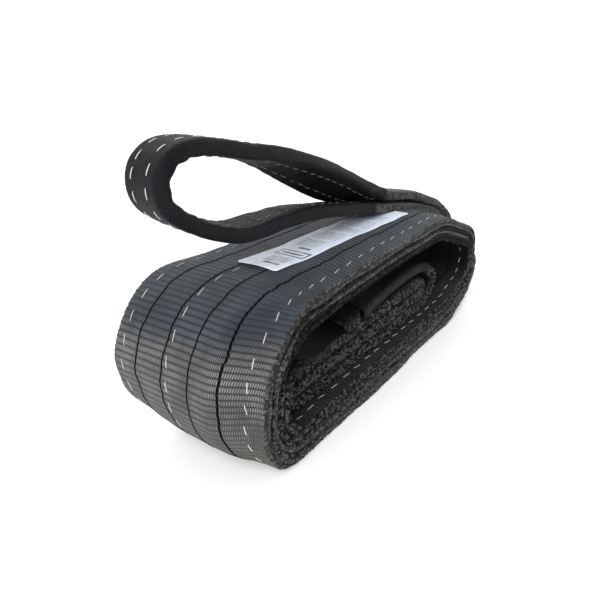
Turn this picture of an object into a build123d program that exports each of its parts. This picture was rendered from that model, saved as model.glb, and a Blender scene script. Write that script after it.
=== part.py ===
from build123d import *
import math
import os

# A flat webbing sling, two plies thick, wound into a long flat roll.
# +X runs from the roll's nose to its tail, Y across the web, +Z up.
# The roll stands on its flat underside. Millimetres throughout.

# ---- webbing ----
web_width = 120.0
ply_thickness = 3.4
ply_gap = 0.1
turn_gap = 1.1
turns = 3

# ---- the roll's outline ----
roll_length = 423.0
roll_height = 139.0
nose_radius = 68.5
shoulder_drop = 12.0
shoulder_run = 60.0
shoulder_slope = 22.0
shoulder_bend = 150.0
shoulder_radius = 46.0
heel_rise = 8.0
heel_run = 57.0
heel_slope = 16.0
heel_bend = 120.0
heel_radius = 52.0

# ---- yarns and threads let into the webbing ----
marker_width = 1.6
marker_depth = 0.5
marker_places = (-36.0, -12.0, 12.0, 36.0)
seam_width = 1.2
seam_depth = 0.4
seam_places = (-49.0, 8.0, 49.0)
thread_setback = 50.0

# ---- label ----
label_width = 41.0
label_length = 204.0
label_thickness = 0.6
label_start = 88.0
label_y = -8.5
label_gap = 0.05
label_stitch_inset = 3.0
label_corner = 2.0
label_row_depth = 0.2
label_row_setbacks = (5.0, 9.0)

# ---- eyes ----
fold_width = 38.0
fold_layers = 3
fold_layer_gap = 0.2
sleeve_wall = 1.2
sleeve_clearance = 0.15
sleeve_row_offset = 9.0
sleeve_row_width = 1.2
sleeve_row_depth = 0.4
outer_eye_y = 6.0
eye_overhang = 7.0
eye_height = 104.0
eye_drop = 45.0
upper_leg_flat = 82.0
lower_leg_flat = 74.0
leg_split = 0.3
outer_sleeve_upper_end = 272.0
outer_sleeve_lower_end = 250.0
throat_radius = 10.0
throat_width = 60.0
throat_seat_gap = 0.4
throat_turn_gap = 0.6
throat_margin = 1.0
taper_height = 62.0
throat_row_pitch = 3.4
throat_rows = 4
throat_row_length = 56.0
inner_eye_y = -31.0
inner_eye_back = 301.0
inner_eye_nose = 72.0
inner_throat_x = 141.0
inner_throat_length = 14.0
inner_sleeve_start = 30.0
storey_gap = 1.0
fold_ease = 0.8
core_arm_height = 90.0
core_arm_slope = 8.0
core_arm_radius = 22.0

# ---- values worked out from the ones above ----
web_thickness = 2 * ply_thickness + ply_gap
pitch = web_thickness + turn_gap
fold_thickness = fold_layers * ply_thickness
sleeve_offset = fold_thickness / 2 + sleeve_clearance + sleeve_wall
sleeve_width = fold_width + 2 * (sleeve_clearance + sleeve_wall)
leg_pitch = 2 * sleeve_offset + storey_gap
nose_x = -(roll_length + eye_overhang) / 2 + eye_overhang
tail_x = nose_x + roll_length
half_web = web_width / 2


def direction(angle):
    """Unit vector in the XZ plane, angle in degrees from +X towards +Z."""
    return Vector(math.cos(math.radians(angle)), math.sin(math.radians(angle)))


# Each side of the roll's outline is a straight line: a point on it and the way the strap runs.
outline = {
    "shoulder": (Vector(tail_x - shoulder_run, roll_height - shoulder_drop), -shoulder_slope),
    "tail": (Vector(tail_x, roll_height / 2), -90.0),
    "heel": (Vector(tail_x - heel_run, heel_rise), 180.0 + heel_slope),
    "bottom": (Vector(0, 0), 180.0),
    "nose": (Vector(nose_x, roll_height / 2), 90.0),
    "top": (Vector(0, roll_height), 0.0),
}
bend = {
    ("shoulder", "tail"): shoulder_radius,
    ("tail", "heel"): heel_radius,
    ("heel", "bottom"): heel_bend,
    ("bottom", "nose"): nose_radius,
    ("nose", "top"): nose_radius,
    ("top", "shoulder"): shoulder_bend,
}


def side_line(side, inset):
    """A side of the outline moved in by inset, as a point and an angle."""
    point, angle = outline[side]
    return point + direction(angle - 90) * inset, angle


def meet(first, second):
    """Where two lines cross, each a point and an angle."""
    (p, a), (q, b) = first, second
    u, v = direction(a), direction(b)
    along = ((q.X - p.X) * v.Y - (q.Y - p.Y) * v.X) / (u.X * v.Y - u.Y * v.X)
    return p + u * along


def roll_sides():
    """The sides that the strap passes from its outer throat to its core, with each one's turn."""
    sides = [("shoulder", 0), ("tail", 0), ("heel", 0)]
    for turn in range(turns):
        sides += [("bottom", turn), ("nose", turn), ("top", turn)]
        sides += [(side, turn + 1) for side in ("shoulder", "tail", "heel")]
    return sides + [("bottom", turns), ("nose", turns)]


def strap_route(depth):
    """Corners and bend radii of the strap at a depth below its outer face."""
    sides = roll_sides()
    lines = [side_line(side, turn * pitch + depth) for side, turn in sides]
    radii = []
    for (one, _), (other, turn) in zip(sides, sides[1:]):
        radii.append(bend[one, other] - turn * pitch - depth)
    arm_point = Vector(nose_x + nose_radius, core_arm_height)
    arm = (arm_point + direction(-90 - core_arm_slope) * depth, -core_arm_slope)
    lines.append(arm)
    radii.append(core_arm_radius - depth)
    corners = [meet(a, b) for a, b in zip(lines, lines[1:])]
    start = meet(lines[0], (throat_centre, 90.0 - shoulder_slope))
    end = meet(arm, (Vector(nose_x + inner_throat_x, 0), 90.0))
    return [start, *corners, end], radii


def shifted(points, radii, offset):
    """An open route moved to its left by offset, with its bends changed to match."""
    angles = [angle_of(a, b) for a, b in zip(points, points[1:])]
    lines = [(a + direction(g + 90) * offset, g) for a, g in zip(points, angles)]
    corners = [meet(a, b) for a, b in zip(lines, lines[1:])]
    moved = []
    for radius, one, other in zip(radii, angles, angles[1:]):
        left_turn = (other - one) % 360 < 180
        moved.append(radius - offset if left_turn else radius + offset)
    start = points[0] + direction(angles[0] + 90) * offset
    end = points[-1] + direction(angles[-1] + 90) * offset
    return [start, *corners, end], moved


def angle_of(a, b):
    """The way from a to b, in degrees."""
    return math.degrees(math.atan2(b.Y - a.Y, b.X - a.X))


def trimmed(route, start_x, end_x, dropped=0):
    """A route that starts and stops at places along X, without its first and last corners."""
    points, radii = route
    points = points[dropped : len(points) - dropped]
    radii = radii[dropped : len(radii) - dropped]
    start = meet((points[0], angle_of(points[0], points[1])), (Vector(start_x, 0), 90.0))
    end = meet((points[-1], angle_of(points[-2], points[-1])), (Vector(end_x, 0), 90.0))
    return [start, *points[1:-1], end], radii


def parted(route, corner, x):
    """A route as two, parted at x on the run that follows the given corner."""
    points, radii = route
    run = (points[corner], angle_of(points[corner], points[corner + 1]))
    middle = meet(run, (Vector(x, 0), 90.0))
    first = [*points[: corner + 1], middle], radii[:corner]
    second = [middle, *points[corner + 1 :]], radii[corner:]
    return first, second


def closed_outline(one, other):
    """Lines from one route's start to its end and back along the other."""
    FilletPolyline(*one[0], radius=one[1])
    FilletPolyline(*other[0], radius=other[1])
    Line(one[0][0], other[0][0])
    Line(one[0][-1], other[0][-1])


def band(one, other, y_centre, width, mode=Mode.ADD):
    """Extrude the space between two routes across the web."""
    with BuildSketch(Plane.XZ.offset(-y_centre)) as side:
        with BuildLine():
            closed_outline(one, other)
        make_face()
    extrude(side.sketch, amount=width / 2, both=True, mode=mode)


# ---- the outer throat, where the eye's two legs leave the strap ----
shoulder_corner = meet(outline["shoulder"], outline["tail"])
shoulder_length = shoulder_radius * math.tan(math.radians((90 - shoulder_slope) / 2))
shoulder_normal = direction(90 - shoulder_slope)
throat_rise = throat_radius + throat_turn_gap - pitch
throat_centre = (
    shoulder_corner
    - direction(-shoulder_slope) * (shoulder_length + throat_margin)
    + shoulder_normal * throat_rise
)

# ---- the outer eye's route: up its upper leg, round the nose and back along the roll's top ----
eye_x = nose_x - eye_overhang + sleeve_offset
eye_z = roll_height + eye_height
leg_offset = shoulder_normal * ((fold_thickness + leg_split) / 2)
upper_root = throat_centre + leg_offset
lower_root = throat_centre - leg_offset
eye_route = (
    [
        upper_root,
        upper_root + direction(180 - shoulder_slope) * upper_leg_flat,
        Vector(eye_x + 110, eye_z - 22),
        Vector(eye_x, eye_z),
        Vector(eye_x, eye_z - eye_drop),
        Vector(eye_x + 72, eye_z - eye_drop - 32),
        Vector(eye_x + 162, eye_z - eye_drop - 29),
        lower_root + direction(180 - shoulder_slope) * lower_leg_flat,
        lower_root,
    ],
    [300.0, 400.0, 20.0, 30.0, 60.0, 150.0, 150.0],
)

# ---- the inner eye's route: two legs, folded back once inside the roll ----
floor_inside = turns * pitch + web_thickness
level = [floor_inside + sleeve_offset + storey_gap + step * leg_pitch for step in range(4)]
back_x = nose_x + inner_eye_back
inner_start_x = nose_x + inner_throat_x
inner_nose_x = nose_x + inner_eye_nose
outer_leg_x = back_x + 1.5 * leg_pitch
inner_leg_x = back_x + 0.5 * leg_pitch
nose_end_x = inner_nose_x - 0.5 * leg_pitch
inner_route = (
    [
        Vector(inner_start_x, level[3]),
        Vector(outer_leg_x, level[3]),
        Vector(outer_leg_x, level[0]),
        Vector(nose_end_x, level[0]),
        Vector(nose_end_x, level[1]),
        Vector(inner_leg_x, level[1]),
        Vector(inner_leg_x, level[2]),
        Vector(inner_start_x, level[2]),
    ],
    [1.5 * leg_pitch - fold_ease / 2] * 2 + [0.5 * leg_pitch - fold_ease / 16] * 4,
)


outer_sleeve_route = trimmed(
    eye_route, nose_x + outer_sleeve_upper_end, nose_x + outer_sleeve_lower_end, dropped=1
)
inner_sleeve_x = inner_start_x + inner_sleeve_start
inner_sleeve_route = trimmed(inner_route, inner_sleeve_x, inner_sleeve_x)


# ---- the strap's plies ----
thread_x = tail_x - thread_setback


def taper_cut():
    """Take the corners off the strap's outer end, so the web narrows to its throat."""
    narrow = throat_width / 2
    top = throat_centre.Y
    with BuildSketch(Plane.YZ) as corners:
        with BuildLine():
            Polyline(
                (half_web, top - taper_height),
                (narrow, top - throat_radius),
                (narrow, top + 2 * throat_radius),
                (web_width, top + 2 * throat_radius),
                (web_width, top - taper_height),
                close=True,
            )
        make_face()
        mirror(about=Plane.YZ)
    extrude(corners.sketch, amount=tail_x + 1, mode=Mode.SUBTRACT)


def strap_layer(depth, thickness):
    """A layer of the strap, from its outer throat to its core."""
    outer, inner = strap_route(depth), strap_route(depth + thickness)
    outer_first, outer_rest = parted(outer, 3, 0)
    inner_first, inner_rest = parted(inner, 3, 0)
    band(outer_first, inner_first, 0, web_width)
    taper_cut()
    with Locations((throat_centre.X, 0, throat_centre.Y)):
        seat_radius = throat_radius + throat_seat_gap
        Cylinder(seat_radius, 2 * web_width, rotation=(90, 0, 0), mode=Mode.SUBTRACT)
    band(outer_rest, inner_rest, 0, web_width)


def yarn(depth, thickness, y, width, mode=Mode.ADD):
    """A yarn along the strap's face, from the heel of the roll to its core."""
    _, outer = parted(strap_route(depth), 2, thread_x)
    _, inner = parted(strap_route(depth + thickness), 2, thread_x)
    band(outer, inner, y, width, mode)


def yarns_on_outer_face(mode):
    """The marker and seam grooves in the face that looks outwards."""
    for y in marker_places:
        yarn(0, marker_depth, y, marker_width, mode)
    for y in seam_places:
        yarn(0, seam_depth, y, seam_width, mode)


def yarns_on_inner_face(mode):
    """The marker and seam grooves in the face that looks inwards."""
    for y in marker_places:
        yarn(web_thickness - marker_depth, marker_depth, y, marker_width, mode)
    for y in seam_places:
        yarn(web_thickness - seam_depth, seam_depth, y, seam_width, mode)


def throat_row_places():
    """The cross rows of lock stitching on the tail, just below the outer throat."""
    heel_corner = meet(outline["tail"], outline["heel"])
    heel_length = heel_radius * math.tan(math.radians((90 - heel_slope) / 2))
    low, high = heel_corner.Y + heel_length, shoulder_corner.Y - shoulder_length
    first = (low + high) / 2 - throat_row_pitch * (throat_rows - 1) / 2
    return [
        (tail_x - seam_depth / 2, 0, first + throat_row_pitch * row) for row in range(throat_rows)
    ]


def throat_rows_cut(mode):
    """Short rows of thread across the web, let into its outer face."""
    with Locations(*throat_row_places()):
        Box(seam_depth, throat_row_length, seam_width, mode=mode)


with BuildPart() as outer_ply:
    strap_layer(0, ply_thickness)
    yarns_on_outer_face(Mode.SUBTRACT)
    throat_rows_cut(Mode.SUBTRACT)

with BuildPart() as inner_ply:
    strap_layer(ply_thickness + ply_gap, ply_thickness)
    yarns_on_inner_face(Mode.SUBTRACT)

with BuildPart() as outer_throat_stitching:
    throat_rows_cut(Mode.ADD)


# ---- marker yarns and the seams that join the plies ----
def marker(y):
    """One marker yarn of the outer ply."""
    with BuildPart() as piece:
        yarn(0, marker_depth, y, marker_width)
    return piece


def seam(y):
    """One running seam: needle thread on the outer face, bobbin thread on the inner one."""
    with BuildPart() as piece:
        yarn(0, seam_depth, y, seam_width)
        yarn(web_thickness - seam_depth, seam_depth, y, seam_width)
    return piece


marker_yarns = [marker(y) for y in marker_places]
seams = [seam(y) for y in seam_places]

with BuildPart() as inner_marker_yarns:
    for marker_y in marker_places:
        yarn(web_thickness - marker_depth, marker_depth, marker_y, marker_width)


# ---- the label on the roll's top ----
label_z = roll_height + label_gap
label_x = nose_x + label_start
label_rows = [label_x + label_length - row for row in label_row_setbacks]


def label_rows_cut(mode):
    """Rows of thread across the label's end."""
    z = label_z + label_thickness - label_row_depth / 2
    with Locations(*[(x, label_y, z) for x in label_rows]):
        Box(seam_width, label_width - 2 * label_stitch_inset, label_row_depth, mode=mode)


with BuildPart() as label_tag:
    with BuildSketch(Plane.XY.offset(label_z)) as label_outline:
        with Locations((label_x + label_length / 2, label_y)):
            RectangleRounded(label_length, label_width, label_corner)
    extrude(amount=label_thickness)
    label_rows_cut(Mode.SUBTRACT)

with BuildPart() as label_stitching:
    label_rows_cut(Mode.ADD)


# ---- eyes ----
def folded_web(route, y):
    """The web of an eye, folded in three lengthwise, with its layers joined at their edges."""
    half = fold_thickness / 2
    band(shifted(*route, half), shifted(*route, -half), y, fold_width)
    slot_width = fold_width - ply_thickness + 1
    for side in (-1, 1):
        near = side * ply_thickness / 2 - fold_layer_gap / 2
        one, other = shifted(*route, near), shifted(*route, near + fold_layer_gap)
        slot_y = y + side * (fold_width - slot_width + 2) / 2
        band(one, other, slot_y, slot_width, Mode.SUBTRACT)


def sleeve_tube(route, y):
    """A woven sleeve round an eye's web, open where its legs come out."""
    bore = sleeve_offset - sleeve_wall
    band(shifted(*route, sleeve_offset), shifted(*route, -sleeve_offset), y, sleeve_width)
    bore_width = sleeve_width - 2 * sleeve_wall
    band(shifted(*route, bore), shifted(*route, -bore), y, bore_width, Mode.SUBTRACT)


def sleeve_rows(route, y, mode):
    """Two rows of thread along each broad face of a sleeve."""
    for side in (-1, 1):
        face = side * sleeve_offset
        sunk = side * (sleeve_offset - sleeve_row_depth)
        one, other = shifted(*route, face), shifted(*route, sunk)
        for across in (-sleeve_row_offset, sleeve_row_offset):
            band(one, other, y + across, sleeve_row_width, mode)


with BuildPart() as outer_eye_web:
    folded_web(eye_route, outer_eye_y)
    with Locations((throat_centre.X, 0, throat_centre.Y)):
        Cylinder(throat_radius, throat_width, rotation=(90, 0, 0))

with BuildPart() as outer_eye_sleeve:
    sleeve_tube(outer_sleeve_route, outer_eye_y)
    sleeve_rows(outer_sleeve_route, outer_eye_y, Mode.SUBTRACT)

with BuildPart() as outer_eye_stitching:
    sleeve_rows(outer_sleeve_route, outer_eye_y, Mode.ADD)

with BuildPart() as inner_eye_web:
    folded_web(inner_route, inner_eye_y)
    block_height = leg_pitch + fold_thickness
    block_z = (level[2] + level[3]) / 2
    with Locations((inner_start_x + inner_throat_length / 2, inner_eye_y, block_z)):
        Box(inner_throat_length, fold_width, block_height)

with BuildPart() as inner_eye_sleeve:
    sleeve_tube(inner_sleeve_route, inner_eye_y)
    sleeve_rows(inner_sleeve_route, inner_eye_y, Mode.SUBTRACT)

with BuildPart() as inner_eye_stitching:
    sleeve_rows(inner_sleeve_route, inner_eye_y, Mode.ADD)


# ---- write each piece ----
pieces = {
    "outer_ply": outer_ply,
    "inner_ply": inner_ply,
    "outer_throat_stitching": outer_throat_stitching,
    "inner_marker_yarns": inner_marker_yarns,
    "label_tag": label_tag,
    "label_stitching": label_stitching,
    "outer_eye_web": outer_eye_web,
    "outer_eye_sleeve": outer_eye_sleeve,
    "outer_eye_stitching": outer_eye_stitching,
    "inner_eye_web": inner_eye_web,
    "inner_eye_sleeve": inner_eye_sleeve,
    "inner_eye_stitching": inner_eye_stitching,
}
for number, piece in enumerate(marker_yarns, 1):
    pieces[f"marker_yarn_{number}"] = piece
for place, piece in zip(("near", "middle", "far"), seams):
    pieces[f"seam_{place}"] = piece

os.makedirs("parts", exist_ok=True)
for name, piece in pieces.items():
    piece.part.label = name
    export_step(piece.part, f"parts/{name}.step")

print("roll", roll_length, "x", web_width, "x", roll_height)
print("throat axis", [round(v, 3) for v in (throat_centre.X, throat_centre.Y)])
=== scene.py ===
import math
import bpy
import numpy as np
from mathutils import Matrix, Vector


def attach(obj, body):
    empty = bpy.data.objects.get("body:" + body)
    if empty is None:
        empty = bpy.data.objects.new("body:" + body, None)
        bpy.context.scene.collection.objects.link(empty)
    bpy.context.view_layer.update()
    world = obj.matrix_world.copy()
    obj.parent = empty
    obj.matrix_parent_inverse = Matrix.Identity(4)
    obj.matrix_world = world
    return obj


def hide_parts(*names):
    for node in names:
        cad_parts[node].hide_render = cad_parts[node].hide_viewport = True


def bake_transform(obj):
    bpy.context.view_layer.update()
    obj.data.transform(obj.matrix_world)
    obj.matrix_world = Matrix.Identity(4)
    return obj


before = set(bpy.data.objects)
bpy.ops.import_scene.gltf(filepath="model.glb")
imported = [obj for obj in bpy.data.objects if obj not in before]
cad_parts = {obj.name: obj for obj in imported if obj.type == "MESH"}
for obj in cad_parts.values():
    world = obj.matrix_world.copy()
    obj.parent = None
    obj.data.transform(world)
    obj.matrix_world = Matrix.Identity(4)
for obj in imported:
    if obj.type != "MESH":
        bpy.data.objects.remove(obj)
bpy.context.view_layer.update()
print("sling: packed model loaded")

# a low three-quarter look at the nose of the roll
view = {
    "place": (-0.3985, -0.2590, 0.2829),
    "right": (0.60100, -0.79864, -0.03150),
    "up": (0.34733, 0.22540, 0.91027),
    "ahead": (0.71986, 0.55799, -0.41285),
    "lens": 31.74,
}


def addCamera():
    data = bpy.data.cameras.new("viewCamera")
    data.lens = view["lens"]
    data.sensor_width = 36.0
    data.clip_start = 0.01
    camera = bpy.data.objects.new("viewCamera", data)
    turn = Matrix((view["right"], view["up"], [-x for x in view["ahead"]])).transposed().to_4x4()
    camera.matrix_world = Matrix.Translation(view["place"]) @ turn
    bpy.context.collection.objects.link(camera)
    bpy.context.scene.camera = camera


addCamera()


# routes are plane curves in XZ, in millimetres, held as arrays
def heading(angle):
    return np.array([math.cos(math.radians(angle)), math.sin(math.radians(angle))])


def crossing(one, other):
    # where two lines meet, each a point and an angle
    p, u = np.array(one[0], float), heading(one[1])
    q, v = np.array(other[0], float), heading(other[1])
    along = ((q[0] - p[0]) * v[1] - (q[1] - p[1]) * v[0]) / (u[0] * v[1] - u[1] * v[0])
    return p + u * along


def roundedRoute(corners, radii, step=0.25):
    # straight runs joined by arcs: each corner gives way to an arc of its radius, tangent to both runs
    parts = [np.array([corners[0]])]
    for before, corner, after, radius in zip(corners, corners[1:], corners[2:], radii):
        a = (corner - before) / np.linalg.norm(corner - before)
        b = (after - corner) / np.linalg.norm(after - corner)
        turn = math.atan2(a[0] * b[1] - a[1] * b[0], a @ b)
        side = math.copysign(1.0, turn)
        middle = corner - a * radius * abs(math.tan(turn / 2)) + side * radius * np.array([-a[1], a[0]])
        first = math.atan2(-side * a[0], side * a[1])
        angle = first + np.linspace(0, turn, max(4, int(radius * abs(turn) / step)))
        parts.append(middle + radius * np.stack([np.cos(angle), np.sin(angle)], -1))
    parts.append(np.array([corners[-1]]))
    return measured(np.concatenate(parts))


def measured(points, step=0.4):
    # a route at even steps, with the distance along it at each of its points
    s = np.concatenate([[0], np.cumsum(np.linalg.norm(np.diff(points, axis=0), axis=1))])
    even = np.linspace(0, s[-1], int(s[-1] / step) + 1)
    return {"points": np.stack([np.interp(even, s, points[:, k]) for k in (0, 1)], -1), "s": even}


def follow(route, s):
    # position and left-hand normal at distances s along a route
    at = [np.interp(s, route["s"], route["points"][:, k]) for k in (0, 1)]
    ahead = [np.interp(s + 1.2, route["s"], route["points"][:, k]) for k in (0, 1)]
    behind = [np.interp(s - 1.2, route["s"], route["points"][:, k]) for k in (0, 1)]
    tx, tz = ahead[0] - behind[0], ahead[1] - behind[1]
    size = np.hypot(tx, tz)
    return np.stack(at, -1), np.stack([-tz / size, tx / size], -1)


def placeNear(route, x, z, low=0.0, high=1e9):
    # the distance along a route that comes closest to a point
    far = np.hypot(route["points"][:, 0] - x, route["points"][:, 1] - z)
    far = np.where((route["s"] < low) | (route["s"] > high), 1e9, far)
    return float(route["s"][np.argmin(far)])


# seeded smooth noise on arrays, for uneven cloth
def waver(u, pitch, seed):
    # smooth steps between random values one pitch apart, from -1 to 1
    values = np.random.default_rng(seed).uniform(-1, 1, 4096)
    x = np.asarray(u, float) / pitch + 1000
    i = np.floor(x).astype(int)
    f = x - i
    f = f * f * (3 - 2 * f)
    return values[i % 4096] * (1 - f) + values[(i + 1) % 4096] * f


def dapple(u, v, pitch, seed):
    # the same on a grid of random values
    values = np.random.default_rng(seed).uniform(-1, 1, (512, 512))
    x, y = np.asarray(u, float) / pitch + 300, np.asarray(v, float) / pitch + 300
    i, j = np.floor(x).astype(int), np.floor(y).astype(int)
    f, g = x - i, y - j
    f, g = f * f * (3 - 2 * f), g * g * (3 - 2 * g)
    a, b = values[i % 512, j % 512], values[(i + 1) % 512, j % 512]
    c, d = values[i % 512, (j + 1) % 512], values[(i + 1) % 512, (j + 1) % 512]
    return (a * (1 - f) + b * f) * (1 - g) + (c * (1 - f) + d * f) * g


def ease(x):
    x = np.clip(x, 0, 1)
    return x * x * (3 - 2 * x)


# meshes are written from whole grids of points
def tubeMesh(name, points, u, v, edge=None):
    # a grid of points, rows along and columns around, closed round its columns and capped at its ends;
    # u is the way along and v the way around, both in millimetres, and edge marks the selvedge
    rows, columns = points.shape[:2]
    index = np.arange(rows * columns).reshape(rows, columns)
    a, b = index[:-1], index[1:]
    quads = np.stack([a, np.roll(a, -1, 1), np.roll(b, -1, 1), b], -1).reshape(-1, 4)
    vv = np.broadcast_to(v, (rows, columns))
    wrap = 2 * vv[:, -1:] - vv[:, -2:-1]
    vNext = np.concatenate([vv[:, 1:], wrap], 1)
    uu = np.broadcast_to(np.reshape(u, (rows, 1)), (rows, columns))
    uv = np.stack([
        np.stack([uu[:-1], vv[:-1]], -1), np.stack([uu[:-1], vNext[:-1]], -1),
        np.stack([uu[1:], vNext[1:]], -1), np.stack([uu[1:], vv[1:]], -1)], -2).reshape(-1, 2)
    capRows = ((0, vv[0][::-1]), (-1, vv[-1]))
    ends = [np.stack([np.full(columns, u[k]), row], -1) for k, row in capRows]
    loops = np.concatenate([quads.reshape(-1), index[0][::-1], index[-1]])
    counts = np.concatenate([np.full(len(quads), 4), [columns, columns]])
    return fillMesh(name, points.reshape(-1, 3), loops, counts, np.concatenate([uv, *ends]), edge)


def fillMesh(name, vertices, loops, counts, uv, edge=None):
    # write whole arrays into a mesh, turning it outside out if its volume is negative
    starts = np.concatenate([[0], np.cumsum(counts)[:-1]])
    corner = vertices[loops]
    first = np.repeat(corner[starts], counts, axis=0)
    after = np.arange(len(loops)) + 1
    after[starts + counts - 1] = starts
    volume = float((first * np.cross(corner, corner[after])).sum())
    if volume < 0:
        begin = np.repeat(starts, counts)
        flip = 2 * begin + np.repeat(counts, counts) - 1 - np.arange(len(loops))
        loops, uv = loops[flip], uv[flip]
    mesh = bpy.data.meshes.new(name)
    mesh.vertices.add(len(vertices))
    mesh.vertices.foreach_set("co", (vertices * 0.001).astype(np.float32).ravel())
    mesh.loops.add(len(loops))
    mesh.loops.foreach_set("vertex_index", loops.astype(np.int32))
    mesh.polygons.add(len(counts))
    mesh.polygons.foreach_set("loop_start", starts.astype(np.int32))
    mesh.polygons.foreach_set("use_smooth", np.ones(len(counts), bool))
    layer = mesh.uv_layers.new(name="UVMap")
    layer.data.foreach_set("uv", (uv * 0.001).astype(np.float32).ravel())
    if edge is not None:
        marks = mesh.attributes.new("selvedge", "FLOAT", "POINT")
        marks.data.foreach_set("value", edge.astype(np.float32).ravel())
    mesh.update(calc_edges=True)
    piece = bpy.data.objects.new(name, mesh)
    bpy.context.collection.objects.link(piece)
    return piece


def joinPieces(name, pieces):
    # several meshes as one
    with bpy.context.temp_override(active_object=pieces[0], selected_editable_objects=pieces):
        bpy.ops.object.join()
    pieces[0].name = name
    return pieces[0]


def own(piece, body, node):
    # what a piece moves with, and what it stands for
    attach(piece, body)
    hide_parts(node)


# the roll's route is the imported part's own
roll = {
    "noseX": -208.0, "tailX": 215.0, "height": 139.0, "halfWeb": 60.0, "turns": 3, "pitch": 8.0,
    "ply": 3.75, "plyGap": 0.12, "proud": 0.1,
    "noseRadius": 68.5, "armHeight": 90.0, "armSlope": 8.0, "armRadius": 22.0, "armEnd": 141.0,
    "throat": (186.279, 117.167), "slope": 22.0,
}


def strapRoute():
    # the outer face of the strap from its outer throat, three times round, to its core
    tail, nose, top = roll["tailX"], roll["noseX"], roll["height"]
    outline = {
        "shoulder": ((tail - 60, 127.0), -roll["slope"]), "tail": ((tail, 69.5), -90.0),
        "heel": ((tail - 57, 8.0), 196.0), "bottom": ((0, 0), 180.0),
        "nose": ((nose, 69.5), 90.0), "top": ((0, top), 0.0),
    }
    bend = {"tail": 46, "heel": 52, "bottom": 120, "nose": 68.5, "top": 68.5, "shoulder": 150}
    order = [("shoulder", 0), ("tail", 0), ("heel", 0)]
    for turn in range(roll["turns"]):
        order += [("bottom", turn), ("nose", turn), ("top", turn)]
        order += [(side, turn + 1) for side in ("shoulder", "tail", "heel")]
    order += [("bottom", roll["turns"]), ("nose", roll["turns"])]
    lines = []
    for side, turn in order:
        point, angle = outline[side]
        lines.append((np.array(point, float) + heading(angle - 90) * turn * roll["pitch"], angle))
    radii = [bend[side] - turn * roll["pitch"] for side, turn in order[1:]] + [roll["armRadius"]]
    arm = (np.array([nose + roll["noseRadius"], roll["armHeight"]]), -roll["armSlope"])
    lines.append(arm)
    start = crossing(lines[0], (roll["throat"], 90 - roll["slope"]))
    end = crossing(arm, ((nose + roll["armEnd"], 0), 90.0))
    return roundedRoute([start, *[crossing(a, b) for a, b in zip(lines, lines[1:])], end], radii)


strap = strapRoute()
strapEnd = strap["s"][-1]
# places along the strap: on the tail, and under the throat after one turn and after two
tailFoot = placeNear(strap, 165, 10, 0, 300)
afterOne = placeNear(strap, 186, 104, 500, 1500)
afterTwo = placeNear(strap, 180, 96, afterOne + 300, afterOne + 1300)
print("sling: strap is", round(strapEnd), "mm long, turns end at", round(afterOne), round(afterTwo))


# how far the wound web strays from its route, in millimetres
stray = {
    "marginFrom": 27.0, "marginOver": 33.0, "lean": 21.0, "sink": 4.0, "noseSink": 6.0,
    "farIn": 3.0, "farUp": 6.0, "fullOut": 8.0, "fullUp": 4.0,
    "swell": 0.6, "swellPitch": 46, "ripple": 0.35, "ripplePitch": 13, "standOff": (1.3, 1.2),
}


def settle(points):
    # each push is a length times eased steps in x, y and z: the near margin leans in at the nose
    # and sinks at the top, the far foot of the nose tucks up, and its far top stands fuller
    x, y, z = points[..., 0], points[..., 1], points[..., 2]
    margin = ease((-y - stray["marginFrom"]) / stray["marginOver"])
    nose = ease((-98 - x) / 80)
    high = ease(z / 75)
    inward = (0.35 * ease(z / 22) + 0.75 * high) * nose * stray["lean"]
    sink = (stray["sink"] + stray["noseSink"] * ease((40 - x) / 240)) * ease((z - 25) / 110)
    foot = ease((y - 20) / 40) * ease((-120 - x) / 70) * ease((60 - z) / 50)
    full = ease((y + 20) / 80) * ease((-105 - x) / 62) * ease((z - 30) / 60)
    moved = points.copy()
    moved[..., 0] += margin * inward + foot * stray["farIn"] - full * stray["fullOut"]
    moved[..., 2] += -margin * sink + foot * stray["farUp"] + full * stray["fullUp"]
    moved[..., 2] = np.maximum(moved[..., 2], 0.05)
    return moved


def rollPoint(s, y, inset):
    # a point of the strap: s along it, y across it, inset below its outer face
    at, normal = follow(strap, s)
    x = at[..., 0] - normal[..., 0] * inset
    z = at[..., 1] - normal[..., 1] * inset
    swell = stray["swell"] * dapple(s, y, stray["swellPitch"], 5)
    lift = (swell + stray["ripple"] * waver(s + 0 * y, stray["ripplePitch"], 6)) * ease(z / 20)
    # the inner turns stand a little off the outer ones low at the nose
    second, third = stray["standOff"]
    turns = second * (s > afterOne + 120) + third * (s > afterTwo + 120)
    lift = lift - ease((-105 - x) / 30) * ease((62 - z) / 20) * turns
    moved = [x - normal[..., 0] * lift, np.broadcast_to(y, x.shape), z - normal[..., 1] * lift]
    return settle(np.stack(moved, -1))


# the weave, where the web narrows at its start, and where it gathers at the core, in millimetres
weave = {"rib": 5.0, "knob": 3.7, "edgeWander": 1.6, "edgePitch": 43, "rough": 0.22}
throat = {"half": 26, "from": 16, "over": 62, "end": 78, "pleat": 1.6}
core = {"from": 75, "over": 70, "gather": 0.63, "y": -31}


def ribs(s, y):
    # cross ribs, each a flat-topped swell, with their lines bowed a little across the web
    bowed = s + 0.45 * np.sin(y / 17 + s / 90) + 0.35 * dapple(s, y, 14, 9)
    part = 2 * np.mod(bowed / weave["rib"], 1) - 1
    return 1 - np.abs(part) ** 3.5


def throatHalf(s):
    # half the web's width, narrowed where the strap's start folds into the throat
    opened = ease((s - throat["from"]) / throat["over"])
    return throat["half"] + (roll["halfWeb"] - throat["half"]) * opened


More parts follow.
